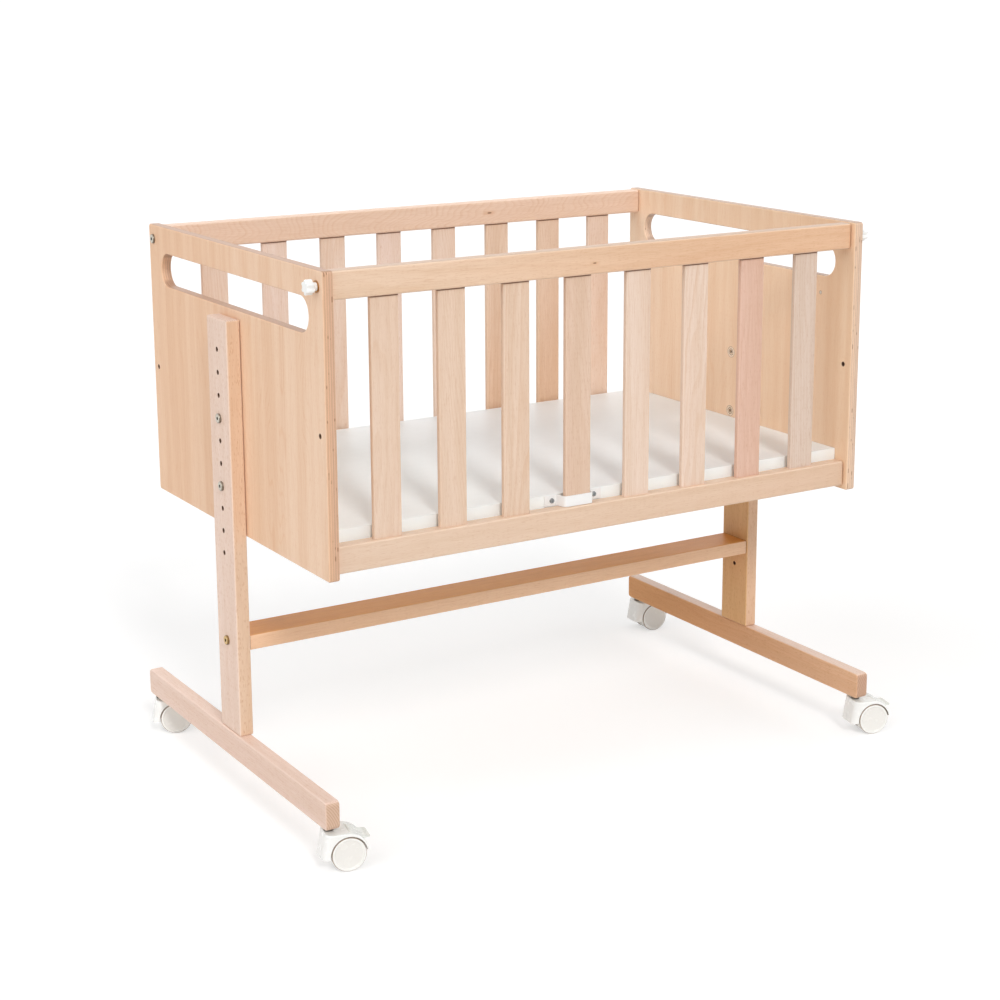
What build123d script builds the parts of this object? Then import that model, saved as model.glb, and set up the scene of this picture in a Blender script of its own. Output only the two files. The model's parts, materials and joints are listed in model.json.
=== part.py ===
from build123d import *
from math import asin, cos, degrees, radians, sin, sqrt
import os

os.makedirs("parts", exist_ok=True)

# A bedside crib: a cradle of two plywood end panels, two railed sides and a board hangs between
# two posts, which stand on feet with swivelling twin wheels. Millimetres, Z up, X along the crib,
# front towards -Y. The origin is on the floor under the middle of the whole outline.

# Room inside the cradle, for an 80 by 50 cm mattress
inner_length = 820
slat_count = 8

# End panels
panel_thickness = 15
panel_depth = 550
panel_height = 389
panel_corner = 4
panel_easing = 2
handle_margin = 41
handle_height = 46
handle_drop = 37
side_hole_inset = 16
side_hole_drop = 20
lowered_hole_drop = 205

# Rails and slats of the two sides
rail_depth = 20
rail_height = 36
rail_easing = 3
top_rail_drop = 1.5
bottom_rail_rise = 6.5
front_rail_recess = 7
rear_rail_recess = 6.5
front_side_gap = 0.8
slat_width = 40
slat_thickness = 9
slat_easing = 3
slat_fit = 0.1
tenon_length = 10

# Board under the mattress, and the cleats that carry it
board_thickness = 18
board_rise = 40
board_gap = 0.5
cleat_section = 20
cleat_margin = 19.5
cleat_easing = 2
cleat_screw_count = 3

# Strap on the board's front edge that guides the side's fourth slat
strap_thickness = 1.6
strap_height = 14.5
strap_rise = 0.5
strap_bend = 3
strap_slant = 5
strap_gap = 0.4
strap_tab = 23
strap_hole_radius = 1.8
slats_left_of_strap_count = 3

# Stand: two posts on two feet, joined by a stretcher
post_thickness = 20
post_width = 63
post_length = 575
post_easing = 2.5
post_gap = 0.6
foot_thickness = 20
foot_length = 588
foot_height = 38
foot_corner = 6
foot_easing = 2.5
foot_overhang = 2
stretcher_thickness = 21
stretcher_width = 58
stretcher_rise = 120
stretcher_easing = 2.5
peg_hole_radius = 3
peg_hole_depth = 10
peg_hole_drop = 33

# Row of holes that sets the cradle's height
hole_pitch = 31
hole_count = 10
hole_top_margin = 42
holes_above_bolts_count = 3
bolt_span_count = 3
bolt_to_panel_bottom = 67

# Socket-head bolts and wood screws
bolt_radius = 3
bolt_hole_gap = 0.25
thread_fit = 0.05
bolt_head_radius = 6.5
bolt_head_height = 3.2
bolt_head_easing = 1
socket_sides = 6
socket_across_flats = 4
socket_depth = 2
bolt_end_gap = 2
wood_grip = 45
foot_bolt_spacing = 36
counterbore_depth = 6
screw_radius = 1.75
screw_head_radius = 3.6
screw_head_height = 2
screw_head_taper = 20
screw_slot = 0.9
screw_slot_length = 4
screw_slot_depth = 1
strap_screw_length = 16
cleat_screw_length = 30

# Flanged nuts let into the panels, and threaded inserts in the front side's top rail
nut_flange_radius = 8.5
nut_flange_thickness = 1.5
nut_barrel_radius = 4
nut_length = 11
insert_radius = 4.5
insert_length = 16

# Star knobs that hold the front side
knob_lobes = 6
knob_core_radius = 7
knob_lobe_radius = 2.6
knob_valley = 1
knob_thickness = 10.5
knob_easing = 1.4
knob_neck_radius = 5.4
knob_neck_length = 4.5
washer_radius = 7.5
washer_thickness = 1.2
stud_reach = 12

# Dowels between the panels and the rear bottom rail
dowel_radius = 4
dowel_spacing = 16
dowel_in_panel = 9
dowel_in_rail = 20
dowel_end_gap = 0.5

# Casters: a stem in the foot, a hood that swivels on it, and two wheels on one axle
caster_height = 56
caster_width = 43
caster_inset = 15
caster_trail = 21.5
wheel_radius = 23
wheel_easing = 2
wheel_rim = 3
wheel_disc = 3
wheel_hub_radius = 6
wheel_dish_radius = 18
wheel_dish_slope = 1.5
wheel_dish_depth = 0.8
wheel_gap = 0.5
wheel_well_gap = 0.8
axle_radius = 3
running_fit = 0.08
axle_end_gap = 0.4
hood_web = 6
hood_lead = 34.5
hood_lead_top = 28.5
hood_crown_shift = 2
hood_skirt = 5.5
hood_tail_rise = 4
hood_hub_radius = 9
hood_corner = 10
hood_easing = 2
stem_radius = 4
stem_in_foot = 28
stem_in_hood = 10.5
stem_fit = 0.08
stem_collar_radius = 6.5
stem_collar_height = 4
collar_gap = 0.5

# Brake pedals on the two front casters
pedal_width = 27
pedal_side_gap = 0.5
pedal_corner = 3
pedal_hinge_ahead = 4
pedal_hinge_rise = 25.8
pedal_knuckle_radius = 2
pedal_pin_radius = 1.1
pedal_pin_length = 1.8
pedal_wheel_gap = 1.4
pedal_root_ahead = 15.5
pedal_bend_ahead = 20.5
pedal_bend_rise = 19.8
pedal_tip_ahead = 30
pedal_tip_rise = 18.6
pedal_tip_thickness = 2
pedal_rib_count = 3
pedal_rib_pitch = 2.4
pedal_rib_radius = 0.7
notch_clearance = 0.8

# How far each caster is turned from the crib's length at rest, in degrees
front_left_turn = -12
front_right_turn = -15
rear_left_turn = -20
rear_right_turn = -5

# Places along X, from the crib's middle
outer_half = inner_length / 2 + panel_thickness
post_inner = outer_half + post_gap
foot_inner = post_inner + foot_overhang
foot_middle = foot_inner + foot_thickness / 2
pedal_reach = caster_trail + pedal_tip_ahead
right_reach = (
    foot_middle
    + pedal_reach * cos(radians(front_right_turn))
    + pedal_width / 2 * abs(sin(radians(front_right_turn)))
)
left_reach = (
    foot_middle
    + (hood_lead - hood_corner - caster_trail) * cos(radians(rear_left_turn))
    + (caster_width / 2 - hood_corner) * abs(sin(radians(rear_left_turn)))
    + hood_corner
)
middle_x = (left_reach - right_reach) / 2

# Heights
foot_top = caster_height + foot_height
post_top = foot_top + post_length
hole_heights = [post_top - hole_top_margin - hole_pitch * i for i in range(hole_count)]
upper_bolt_z = hole_heights[holes_above_bolts_count]
lower_bolt_z = hole_heights[holes_above_bolts_count + bolt_span_count]
panel_bottom = lower_bolt_z - bolt_to_panel_bottom
panel_top = panel_bottom + panel_height
handle_z = panel_top - handle_drop - handle_height / 2
handle_length = panel_depth - 2 * handle_margin
side_hole_z = panel_top - side_hole_drop
lowered_hole_z = panel_top - lowered_hole_drop
top_rail_bottom = panel_top - top_rail_drop - rail_height
bottom_rail_bottom = panel_bottom + bottom_rail_rise
bottom_rail_top = bottom_rail_bottom + rail_height
board_bottom = panel_bottom + board_rise
stretcher_z = foot_top + stretcher_rise + stretcher_thickness / 2
peg_hole_z = stretcher_z - peg_hole_drop

hood_top = caster_height - stem_collar_height - collar_gap
crown_radius = hood_top - wheel_radius

# Depths
front_edge = -panel_depth / 2
rear_edge = panel_depth / 2
front_rail_face = front_edge + front_rail_recess
front_rail_y = front_rail_face + rail_depth / 2
rear_rail_y = rear_edge - rear_rail_recess - rail_depth / 2
side_hole_y = panel_depth / 2 - side_hole_inset
board_front = front_rail_y + rail_depth / 2 + board_gap
board_rear = rear_rail_y - rail_depth / 2 - board_gap
caster_y = foot_length / 2 - caster_inset

# Slats share the width between the panels with equal gaps
slat_space = (inner_length - slat_count * slat_width) / (slat_count + 1)
slat_pitch = slat_width + slat_space
slat_places = [
    middle_x + slat_pitch * (i - (slat_count - 1) / 2) for i in range(slat_count)
]
slat_length = top_rail_bottom - bottom_rail_top + 2 * (tenon_length - slat_fit)

# Screws of the cleats, and the two dowels in each end of the rear bottom rail
cleat_z = board_bottom - cleat_section / 2
cleat_y = (board_front + board_rear) / 2
cleat_length = board_rear - board_front - 2 * cleat_margin
cleat_screw_pitch = cleat_length / cleat_screw_count
cleat_screw_places = [
    cleat_y + cleat_screw_pitch * (i - (cleat_screw_count - 1) / 2)
    for i in range(cleat_screw_count)
]
dowel_middle = bottom_rail_bottom + rail_height / 2
dowel_heights = [dowel_middle - dowel_spacing / 2, dowel_middle + dowel_spacing / 2]

from_base = (Align.CENTER, Align.CENTER, Align.MIN)


def along(x, y, z, direction):
    """A plane at a point whose Z runs along a direction."""
    return Plane(origin=(x, y, z), z_dir=direction)


def write(piece, label):
    """Name a finished piece and write it."""
    piece.part.label = label
    export_step(piece.part, f"parts/{label}.step")


def bore(plane, radius, depth):
    """Cut a round hole along a plane's Z."""
    with BuildSketch(plane) as section:
        Circle(radius)
    extrude(section.sketch, amount=depth, mode=Mode.SUBTRACT)


def bolt(seat, length):
    """Add a socket-head bolt: its head stands behind the seat, its shank runs along Z."""
    radial = Plane(origin=seat.origin, x_dir=seat.z_dir, z_dir=seat.x_dir)
    with BuildSketch(radial) as profile:
        with BuildLine():
            Polyline(
                (-bolt_head_height, bolt_head_radius - bolt_head_easing),
                (-bolt_head_height, 0),
                (length, 0),
                (length, bolt_radius),
                (0, bolt_radius),
                (0, bolt_head_radius),
                (bolt_head_easing - bolt_head_height, bolt_head_radius),
            )
            RadiusArc(
                (bolt_head_easing - bolt_head_height, bolt_head_radius),
                (-bolt_head_height, bolt_head_radius - bolt_head_easing),
                -bolt_head_easing,
            )
        make_face()
    revolve(profile.sketch, axis=Axis(seat.origin, seat.z_dir))
    with BuildSketch(seat.offset(-bolt_head_height)) as socket:
        RegularPolygon(socket_across_flats / 2, socket_sides, major_radius=False)
    extrude(socket.sketch, amount=socket_depth, mode=Mode.SUBTRACT)


def wood_screw(seat, length):
    """Add a cross-head wood screw whose raised head stands behind the seat."""
    with BuildSketch(seat) as head:
        Circle(screw_head_radius)
    extrude(head.sketch, amount=-screw_head_height, taper=screw_head_taper)
    with BuildSketch(seat) as shank:
        Circle(screw_radius)
    extrude(shank.sketch, amount=length)
    with BuildSketch(seat.offset(-screw_head_height)) as cross:
        Rectangle(screw_slot_length, screw_slot)
        Rectangle(screw_slot, screw_slot_length)
    extrude(cross.sketch, amount=screw_slot_depth, mode=Mode.SUBTRACT)


# Feet
def foot(side):
    """One foot, on the side given by the sign of X, with holes for stems and post bolts."""
    inner_x = middle_x + side * foot_inner
    with BuildPart() as piece:
        with BuildSketch(Plane.YZ.offset(inner_x)):
            with Locations((0, caster_height + foot_height / 2)):
                RectangleRounded(foot_length, foot_height, foot_corner)
        extrude(amount=side * foot_thickness)
        fillet(piece.faces().filter_by(Axis.X).edges(), foot_easing)
        for y in (-caster_y, caster_y):
            stem_x = middle_x + side * foot_middle
            bore(along(stem_x, y, caster_height, (0, 0, 1)), stem_radius, stem_in_foot)
        for y in (-foot_bolt_spacing / 2, foot_bolt_spacing / 2):
            under = along(post_x(side), y, caster_height, (0, 0, 1))
            bore(under, bolt_head_radius + bolt_hole_gap, counterbore_depth)
            bore(under, bolt_radius + thread_fit, foot_height)
    return piece


def post_x(side):
    """The middle of a post along X."""
    return middle_x + side * (post_inner + post_thickness / 2)


left_foot = foot(-1)
write(left_foot, "left_foot")
right_foot = foot(1)
write(right_foot, "right_foot")


# Posts
def post(side):
    """One post, with the row of holes for the cradle and the holes for its other bolts."""
    inner_x = middle_x + side * post_inner
    inward = (-side, 0, 0)
    outer_x = inner_x + side * post_thickness
    with BuildPart() as piece:
        with Locations((post_x(side), 0, foot_top)):
            Box(post_thickness, post_width, post_length, align=from_base)
        fillet(piece.edges(), post_easing)
        for z in hole_heights:
            bore(along(outer_x, 0, z, inward), bolt_radius + bolt_hole_gap, post_thickness)
        bore(along(outer_x, 0, stretcher_z, inward), bolt_radius + thread_fit, post_thickness)
        outward = (side, 0, 0)
        bore(along(inner_x, 0, peg_hole_z, outward), peg_hole_radius, peg_hole_depth)
        for y in (-foot_bolt_spacing / 2, foot_bolt_spacing / 2):
            bore(along(post_x(side), y, foot_top, (0, 0, 1)), bolt_radius + thread_fit, wood_grip)
    return piece


left_post = post(-1)
write(left_post, "left_post")
right_post = post(1)
write(right_post, "right_post")

# Stretcher between the posts, and the bolts through the posts into its ends
with BuildPart() as stretcher:
    with Locations((middle_x, 0, stretcher_z)):
        Box(2 * post_inner, stretcher_width, stretcher_thickness)
    fillet(stretcher.edges().filter_by(Axis.X), stretcher_easing)
    for side in (-1, 1):
        end = along(middle_x + side * post_inner, 0, stretcher_z, (-side, 0, 0))
        bore(end, bolt_radius + thread_fit, wood_grip)
write(stretcher, "stretcher")

with BuildPart() as stretcher_bolts:
    for side in (-1, 1):
        face_x = middle_x + side * (post_inner + post_thickness)
        head = along(face_x, 0, stretcher_z, (-side, 0, 0))
        bolt(head, post_thickness + wood_grip - bolt_end_gap)
write(stretcher_bolts, "stretcher_bolts")

# Bolts up through each foot into its post
with BuildPart() as foot_bolts:
    for side in (-1, 1):
        for y in (-foot_bolt_spacing / 2, foot_bolt_spacing / 2):
            seat = along(post_x(side), y, caster_height + counterbore_depth, (0, 0, 1))
            bolt(seat, foot_height - counterbore_depth + wood_grip - bolt_end_gap)
write(foot_bolts, "foot_bolts")


# Caster stems, with the collar that bears on the foot
with BuildPart() as caster_stems:
    for side in (-1, 1):
        for y in (-caster_y, caster_y):
            collar = Plane((middle_x + side * foot_middle, y, caster_height - stem_collar_height))
            with Locations(collar):
                Cylinder(stem_collar_radius, stem_collar_height, align=from_base)
                Cylinder(stem_radius, stem_collar_height + stem_in_foot, align=from_base)
            with Locations(collar.offset(-stem_in_hood)):
                Cylinder(stem_radius, stem_in_hood, align=from_base)
write(caster_stems, "caster_stems")


def trail_of(turn):
    """The direction in which a caster trails behind its stem."""
    return Vector(cos(radians(turn)), sin(radians(turn)), 0)


def upright_of(x, y, turn):
    """The upright plane through a caster's middle: X along its trail, Y up, origin on the axle."""
    trail = trail_of(turn)
    axle = Vector(x, y, wheel_radius) + trail * caster_trail
    return Plane(origin=axle, x_dir=trail, z_dir=trail.cross(Vector(0, 0, 1)))


def hood_of(x, y, turn, braked):
    """The hood over both wheels, with a web that holds the axle and a bore for the stem."""
    upright = upright_of(x, y, turn)
    across = Axis(upright.origin, upright.z_dir)
    tail_angle = degrees(asin(hood_tail_rise / crown_radius))
    with BuildPart() as piece:
        with BuildSketch(upright):
            with BuildLine():
                crown = CenterArc((-hood_crown_shift, 0), crown_radius, tail_angle, 90 - tail_angle)
                Polyline(
                    crown @ 0,
                    (-hood_lead, -hood_skirt),
                    (-hood_lead_top, crown_radius),
                    crown @ 1,
                )
            make_face()
        extrude(amount=caster_width / 2, both=True)
        lead_face = piece.faces().sort_by(Axis(upright.origin, upright.x_dir))[0]
        fillet(lead_face.edges().filter_by(across, reverse=True), hood_corner)
        sides = piece.faces().filter_by(across)
        fillet(sides.edges().filter_by(GeomType.CIRCLE), hood_easing)
        for way in (-1, 1):
            with BuildSketch(upright.offset(way * hood_web / 2)):
                Circle(wheel_radius + wheel_well_gap)
            extrude(amount=way * caster_width, mode=Mode.SUBTRACT)
        with BuildSketch(upright):
            Circle(hood_hub_radius)
        extrude(amount=hood_web / 2, both=True)
        with BuildSketch(upright):
            Circle(axle_radius + thread_fit)
        extrude(amount=hood_web, both=True, mode=Mode.SUBTRACT)
        bore(Plane((x, y, hood_top)), stem_radius + stem_fit, -stem_in_hood - collar_gap)
        if braked:
            notch_start = pedal_hinge_ahead - pedal_knuckle_radius - notch_clearance
            notch_bottom = pedal_tip_rise - pedal_tip_thickness - notch_clearance
            with BuildSketch(upright):
                with Locations((notch_start, notch_bottom)):
                    Rectangle(crown_radius, crown_radius, align=(Align.MIN, Align.MIN))
                Circle(wheel_radius + pedal_wheel_gap - notch_clearance, mode=Mode.SUBTRACT)
            extrude(amount=pedal_width / 2 + pedal_side_gap, both=True, mode=Mode.SUBTRACT)
            with BuildSketch(upright):
                with Locations((pedal_hinge_ahead, pedal_hinge_rise)):
                    Circle(pedal_pin_radius + running_fit)
            pin_reach = pedal_width / 2 + pedal_side_gap + pedal_pin_length
            extrude(amount=pin_reach, both=True, mode=Mode.SUBTRACT)
    return piece


def axle_of(x, y, turn):
    """The steel axle, which ends inside both wheels."""
    with BuildPart() as piece:
        with BuildSketch(upright_of(x, y, turn)):
            Circle(axle_radius)
        extrude(amount=caster_width / 2 - wheel_disc - axle_end_gap, both=True)
    return piece


def wheel_of(x, y, turn, way):
    """One wheel, hollow towards the web, on the side of the axle given by a sign."""
    upright = upright_of(x, y, turn)
    axle_line = Plane(origin=upright.origin, x_dir=upright.z_dir * way, z_dir=upright.x_dir * way)
    inner = hood_web / 2 + wheel_gap
    outer = caster_width / 2
    disc = outer - wheel_disc
    bore_radius = axle_radius + running_fit
    rim_inner = wheel_radius - wheel_rim
    with BuildPart() as piece:
        with BuildSketch(axle_line):
            with BuildLine():
                Polyline(
                    (inner, bore_radius),
                    (inner, wheel_hub_radius),
                    (disc, wheel_hub_radius),
                    (disc, rim_inner),
                    (inner, rim_inner),
                    (inner, wheel_radius),
                    (outer, wheel_radius),
                    (outer, wheel_dish_radius + wheel_dish_slope),
                    (outer - wheel_dish_depth, wheel_dish_radius),
                    (outer - wheel_dish_depth, 0),
                    (disc, 0),
                    (disc, bore_radius),
                    close=True,
                )
            make_face()
        revolve(axis=Axis(upright.origin, upright.z_dir))
        rims = piece.edges().filter_by(GeomType.CIRCLE).group_by(SortBy.RADIUS)[-1]
        fillet(rims, wheel_easing)
    return piece


def on_circle(centre_ahead, radius, ahead):
    """The point above the axle's level on a circle, at a distance ahead of the axle."""
    return (ahead, sqrt(radius**2 - (ahead - centre_ahead) ** 2))


def pedal_of(x, y, turn):
    """A brake pedal: a flap on a knuckle, with a ribbed tab and a pin each side in the hood."""
    upright = upright_of(x, y, turn)
    knuckle = (pedal_hinge_ahead, pedal_hinge_rise)
    under_radius = wheel_radius + pedal_wheel_gap
    top_radius = crown_radius - pedal_side_gap
    middle_ahead = (pedal_hinge_ahead + pedal_root_ahead) / 2
    top_start = on_circle(-hood_crown_shift, top_radius, pedal_hinge_ahead)
    top_middle = on_circle(-hood_crown_shift, top_radius, middle_ahead)
    top_root = on_circle(-hood_crown_shift, top_radius, pedal_root_ahead)
    tip_top = (pedal_tip_ahead, pedal_tip_rise)
    tip_bottom = (pedal_tip_ahead, pedal_tip_rise - pedal_tip_thickness)
    root_ahead = sqrt(under_radius**2 - tip_bottom[1] ** 2)
    with BuildPart() as piece:
        with BuildSketch(upright):
            with BuildLine():
                ThreePointArc(top_start, top_middle, top_root)
                tab = ThreePointArc(top_root, (pedal_bend_ahead, pedal_bend_rise), tip_top)
                Polyline(tip_top, tip_bottom, (root_ahead, tip_bottom[1]))
                ThreePointArc(
                    (root_ahead, tip_bottom[1]),
                    on_circle(0, under_radius, middle_ahead),
                    on_circle(0, under_radius, pedal_hinge_ahead),
                )
                Line(on_circle(0, under_radius, pedal_hinge_ahead), top_start)
            make_face()
            with Locations(knuckle):
                Circle(pedal_knuckle_radius)
            ribs = [(tab @ 1) + Vector(-pedal_rib_pitch * (i + 1), 0) for i in range(pedal_rib_count)]
            with Locations(*ribs):
                Circle(pedal_rib_radius)
        extrude(amount=pedal_width / 2, both=True)
        tip_corners = piece.edges().filter_by(Axis.Z).sort_by(Axis(upright.origin, upright.x_dir))
        fillet(tip_corners[-2:], pedal_corner)
        with BuildSketch(upright):
            with Locations(knuckle):
                Circle(pedal_pin_radius)
        extrude(amount=pedal_width / 2 + pedal_pin_length, both=True)
    return piece


casters = {
    "front_left": (middle_x - foot_middle, -caster_y, front_left_turn, True),
    "front_right": (middle_x + foot_middle, -caster_y, front_right_turn, True),
    "rear_left": (middle_x - foot_middle, caster_y, rear_left_turn, False),
    "rear_right": (middle_x + foot_middle, caster_y, rear_right_turn, False),
}
for name, (x, y, turn, braked) in casters.items():
    write(hood_of(x, y, turn, braked), f"{name}_hood")
    write(axle_of(x, y, turn), f"{name}_axle")
    write(wheel_of(x, y, turn, 1), f"{name}_near_wheel")
    write(wheel_of(x, y, turn, -1), f"{name}_far_wheel")
    if braked:
        write(pedal_of(x, y, turn), f"{name}_brake_pedal")


# End panels of the cradle
def end_panel(side):
    """One end panel, with its handle slot, its bolt holes and the holes for the two sides."""
    inner_x = middle_x + side * inner_length / 2
    outer_x = inner_x + side * panel_thickness
    inward = (-side, 0, 0)
    outward = (side, 0, 0)
    with BuildPart() as piece:
        with BuildSketch(Plane.YZ.offset(inner_x)):
            with Locations((0, (panel_bottom + panel_top) / 2)):
                RectangleRounded(panel_depth, panel_height, panel_corner)
            with Locations((0, handle_z)):
                SlotOverall(handle_length, handle_height, mode=Mode.SUBTRACT)
        extrude(amount=side * panel_thickness)
        fillet(piece.faces().filter_by(Axis.X).edges(), panel_easing)
        for z in (upper_bolt_z, lower_bolt_z):
            bore(along(outer_x, 0, z, inward), bolt_radius + bolt_hole_gap, panel_thickness)
            nut_seat = along(inner_x, 0, z, outward)
            bore(nut_seat, nut_flange_radius + thread_fit, nut_flange_thickness + thread_fit)
            bore(nut_seat, nut_barrel_radius + thread_fit, nut_length + thread_fit)
        for y in (-side_hole_y, side_hole_y):
            for z in (side_hole_z, lowered_hole_z):
                bore(along(outer_x, y, z, inward), bolt_radius + bolt_hole_gap, panel_thickness)
        for y in cleat_screw_places:
            pilot = along(inner_x, y, cleat_z, outward)
            bore(pilot, screw_radius + thread_fit, cleat_screw_length - cleat_section + bolt_end_gap)
        for z in dowel_heights:
            socket = along(inner_x, rear_rail_y, z, outward)
            bore(socket, dowel_radius + thread_fit, dowel_in_panel)
    return piece


left_end_panel = end_panel(-1)
write(left_end_panel, "left_end_panel")
right_end_panel = end_panel(1)
write(right_end_panel, "right_end_panel")


# Rails: each is mortised for the slats on the face towards the other rail
def rail(y, bottom, end_gap, mortise_face, mortise_way, hole_radius, hole_depth, hole_places):
    """One rail along X, with a mortise for each slat and holes in its ends."""
    with BuildPart() as piece:
        with Locations((middle_x, y, bottom)):
            Box(inner_length - 2 * end_gap, rail_depth, rail_height, align=from_base)
        fillet(piece.edges(), rail_easing)
        with BuildSketch(Plane.XY.offset(mortise_face)):
            with Locations(*[(x, y) for x in slat_places]):
                RectangleRounded(
                    slat_width + 2 * slat_fit,
                    slat_thickness + 2 * slat_fit,
                    slat_easing + slat_fit,
                )
        extrude(amount=mortise_way * tenon_length, mode=Mode.SUBTRACT)
        for place in hole_places:
            bore(place, hole_radius, hole_depth)
    return piece


def ends(end_gap, y, z):
    """The planes of a rail's two ends, each looking along the rail."""
    half = inner_length / 2 - end_gap
    return [along(middle_x + side * half, y, z, (-side, 0, 0)) for side in (-1, 1)]


bolt_ends = ends(0, side_hole_y, side_hole_z)
rear_top_rail = rail(
    rear_rail_y,
    top_rail_bottom,
    0,
    top_rail_bottom,
    1,
    bolt_radius + thread_fit,
    wood_grip,
    bolt_ends,
)
write(rear_top_rail, "rear_top_rail")

dowel_ends = [plane for z in dowel_heights for plane in ends(0, rear_rail_y, z)]
rear_bottom_rail = rail(
    rear_rail_y,
    bottom_rail_bottom,
    0,
    bottom_rail_top,
    -1,
    dowel_radius + thread_fit,
    dowel_in_rail,
    dowel_ends,
)
write(rear_bottom_rail, "rear_bottom_rail")

insert_ends = ends(front_side_gap, -side_hole_y, side_hole_z)
front_top_rail = rail(
    front_rail_y,
    top_rail_bottom,
    front_side_gap,
    top_rail_bottom,
    1,
    insert_radius + thread_fit,
    insert_length,
    insert_ends,
)
write(front_top_rail, "front_top_rail")

front_bottom_rail = rail(
    front_rail_y,
    bottom_rail_bottom,
    front_side_gap,
    bottom_rail_top,
    -1,
    0,
    0,
    [],
)
write(front_bottom_rail, "front_bottom_rail")

# Dowels between the rear bottom rail and the panels
with BuildPart() as rail_dowels:
    for plane in dowel_ends:
        start = plane.offset(dowel_end_gap - dowel_in_panel)
        with BuildSketch(start):
            Circle(dowel_radius)
        extrude(amount=dowel_in_panel + dowel_in_rail - 2 * dowel_end_gap)
write(rail_dowels, "rail_dowels")

# Slats, numbered from the left
slat_bottom = bottom_rail_top - tenon_length + slat_fit
for row, y in (("front", front_rail_y), ("rear", rear_rail_y)):
    for number, x in enumerate(slat_places, start=1):
        with BuildPart() as slat:
            with BuildSketch(Plane.XY.offset(slat_bottom)):
                with Locations((x, y)):
                    RectangleRounded(slat_width, slat_thickness, slat_easing)
            extrude(amount=slat_length)
        write(slat, f"{row}_slat_{number}")

# Board under the mattress
strap_middle = slat_places[slats_left_of_strap_count]
strap_z = bottom_rail_top + strap_rise + strap_height / 2
strap_half = slat_width / 2 + strap_gap + strap_thickness
strap_screw_offset = strap_half + strap_tab / 2
with BuildPart() as mattress_board:
    with Locations((middle_x, (board_front + board_rear) / 2, board_bottom)):
        Box(
            inner_length - 2 * board_gap,
            board_rear - board_front,
            board_thickness,
            align=from_base,
        )
    for way in (-1, 1):
        pilot = along(strap_middle + way * strap_screw_offset, board_front, strap_z, (0, 1, 0))
        bore(pilot, screw_radius + thread_fit, strap_screw_length)
write(mattress_board, "mattress_board")

# Cleats under the board, screwed to the panels
with BuildPart() as board_cleats:
    for side in (-1, 1):
        with Locations((middle_x + side * (inner_length - cleat_section) / 2, cleat_y, cleat_z)):
            Box(cleat_section, cleat_length, cleat_section)
    fillet(board_cleats.edges().filter_by(Axis.Y), cleat_easing)
    for side in (-1, 1):
        for y in cleat_screw_places:
            face_x = middle_x + side * (inner_length / 2 - cleat_section)
            seat = along(face_x, y, cleat_z, (side, 0, 0))
            bore(seat, screw_radius + thread_fit, cleat_section)
write(board_cleats, "board_cleats")

# Strap: a flat strip that stands off the board's front edge round the slat
slat_front = front_rail_y - slat_thickness / 2
strap_front = slat_front - strap_gap - strap_thickness / 2
strap_back = board_front - strap_thickness / 2
with BuildPart() as guide_strap:
    with BuildSketch(Plane.XY.offset(strap_z - strap_height / 2)):
        with BuildLine():
            leg = strap_half - strap_thickness / 2
            FilletPolyline(
                (strap_middle - strap_half - strap_tab, strap_back),
                (strap_middle - leg - strap_slant, strap_back),
                (strap_middle - leg, strap_front),
                (strap_middle + leg, strap_front),
                (strap_middle + leg + strap_slant, strap_back),
                (strap_middle + strap_half + strap_tab, strap_back),
                radius=strap_bend,
            )
        trace(line_width=strap_thickness)
    extrude(amount=strap_height)
    for way in (-1, 1):
        face_y = board_front - strap_thickness
        hole = along(strap_middle + way * strap_screw_offset, face_y, strap_z, (0, 1, 0))
        bore(hole, strap_hole_radius, strap_thickness)
write(guide_strap, "guide_strap")

# Wood screws: two for the strap, and those of the cleats
with BuildPart() as wood_screws:
    for way in (-1, 1):
        face_y = board_front - strap_thickness
        seat = along(strap_middle + way * strap_screw_offset, face_y, strap_z, (0, 1, 0))
        wood_screw(seat, strap_screw_length)
    for side in (-1, 1):
        for y in cleat_screw_places:
            face_x = middle_x + side * (inner_length / 2 - cleat_section)
            wood_screw(along(face_x, y, cleat_z, (side, 0, 0)), cleat_screw_length)
write(wood_screws, "wood_screws")

# Bolts of the cradle: two through each post and panel, and one into each end of the rear top rail
with BuildPart() as cradle_bolts:
    for side in (-1, 1):
        for z in (upper_bolt_z, lower_bolt_z):
            post_face = middle_x + side * (post_inner + post_thickness)
            grip = post_thickness + post_gap + panel_thickness - bolt_end_gap
            bolt(along(post_face, 0, z, (-side, 0, 0)), grip)
        rail_bolt = along(middle_x + side * outer_half, side_hole_y, side_hole_z, (-side, 0, 0))
        bolt(rail_bolt, panel_thickness + wood_grip - bolt_end_gap)
write(cradle_bolts, "cradle_bolts")

# Flanged nuts in the panels' inner faces
with BuildPart() as panel_nuts:
    for side in (-1, 1):
        for z in (upper_bolt_z, lower_bolt_z):
            seat = along(middle_x + side * inner_length / 2, 0, z, (side, 0, 0))
            with BuildSketch(seat):
                Circle(nut_flange_radius)
            extrude(amount=nut_flange_thickness)
            with BuildSketch(seat):
                Circle(nut_barrel_radius)
            extrude(amount=nut_length)
            bore(seat, bolt_radius + thread_fit, nut_length)
write(panel_nuts, "panel_nuts")

# Threaded inserts in the ends of the front top rail
with BuildPart() as rail_inserts:
    for plane in insert_ends:
        with BuildSketch(plane):
            Circle(insert_radius)
            Circle(bolt_radius + thread_fit, mode=Mode.SUBTRACT)
        extrude(amount=insert_length - thread_fit)
write(rail_inserts, "rail_inserts")


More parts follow.
